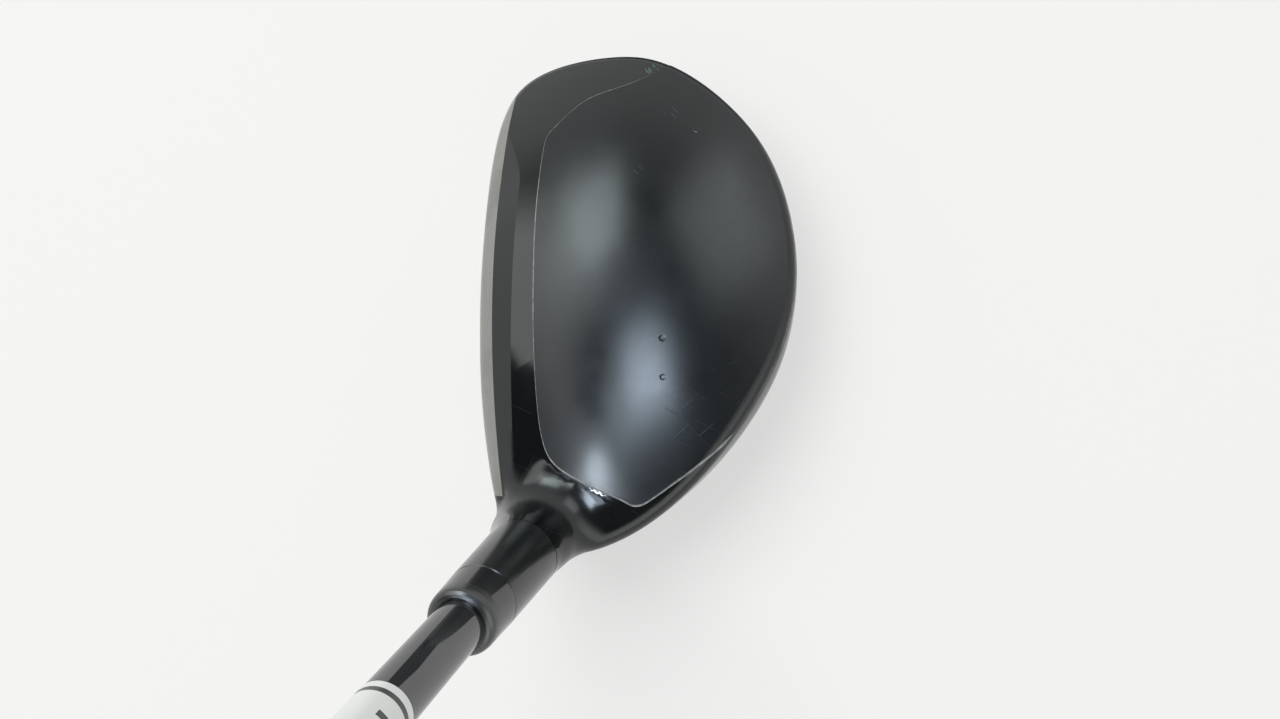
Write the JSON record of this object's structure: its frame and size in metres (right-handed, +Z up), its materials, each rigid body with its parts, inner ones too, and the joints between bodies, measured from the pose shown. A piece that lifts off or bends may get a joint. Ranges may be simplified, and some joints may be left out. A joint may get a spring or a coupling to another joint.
{
  "type": "hybrid golf club",
  "caption": "Right-handed hybrid golf club: hollow head with recessed crown panel and grooved face, adjustable neck sleeve, tapered shaft and rubber grip.",
  "frame": {"origin": "middle of the small flat on the sole that the club rests on at address", "axes": "+Z up, the face looks to -Y, the toe points to -X, and the shaft leans 59.5 degrees up toward +X"},
  "size_m": [0.6197, 0.0776, 0.8802],
  "materials": {
    "head_paint": "gloss",
    "face_steel": "satin",
    "crown_matte": "matte",
    "bond_line": "matte",
    "liner_steel": "machined",
    "washer_steel": "machined",
    "screw_steel": "machined",
    "clip_plastic": "natural",
    "weight_steel": "bead blasted",
    "ring_rubber": "matte",
    "bolt_steel": "machined",
    "adapter_black": "black anodised",
    "ferrule_gloss": "gloss",
    "shaft_paint": "clear-coated carbon fibre",
    "plug_brass": "machined",
    "band_white": "gloss",
    "tape_paper": "paper",
    "grip_rubber": "textured",
    "cap_rubber": "matte"
  },
  "bodies": {
    "shaft_assembly": {"adapter_sleeve": "adapter_black", "ferrule": "ferrule_gloss", "shaft": "shaft_paint", "tip_plug": "plug_brass", "shaft_band": "band_white", "grip_tape": "tape_paper", "grip_sleeve": "grip_rubber", "grip_cap": "cap_rubber"},
    "head": {"head_shell": "head_paint", "face_plate": "face_steel", "crown_panel": "crown_matte", "crown_bond": "bond_line", "port_liner": "liner_steel", "screw_washer": "washer_steel"},
    "hosel_bolt": {"hosel_screw": "screw_steel", "screw_clip": "clip_plastic"},
    "weight_slug": {"sole_weight": "weight_steel", "weight_ring": "ring_rubber"},
    "weight_bolt": {"weight_bolt": "bolt_steel"}
  },
  "joints": [
    {"name": "hosel_screw_turn", "type": "hinge", "parent": "head", "child": "hosel_bolt", "pos_m": [0.05609, -0.008, 0.01034], "axis": [-0.5075, 0, -0.8616], "range_deg": [0, 3600]},
    {"name": "head_release", "type": "slide", "parent": "shaft_assembly", "child": "head", "axis": [-0.5075, 0, -0.8616], "range_m": [0, 0.008]},
    {"name": "weight_release", "type": "slide", "parent": "head", "child": "weight_slug", "axis": [0, 0.225, -0.9744], "range_m": [0, 0.0049]},
    {"name": "weight_bolt_turn", "type": "hinge", "parent": "weight_slug", "child": "weight_bolt", "pos_m": [0.006, 0.02655, 0.00479], "axis": [0, 0.225, -0.9744], "range_deg": [0, 2520]}
  ],
  "couplings": [
    {"joint": "hosel_screw_turn", "follows": "head_release", "rad_per_m": 7854},
    {"joint": "weight_bolt_turn", "follows": "weight_release", "rad_per_m": 8975.9}
  ]
}
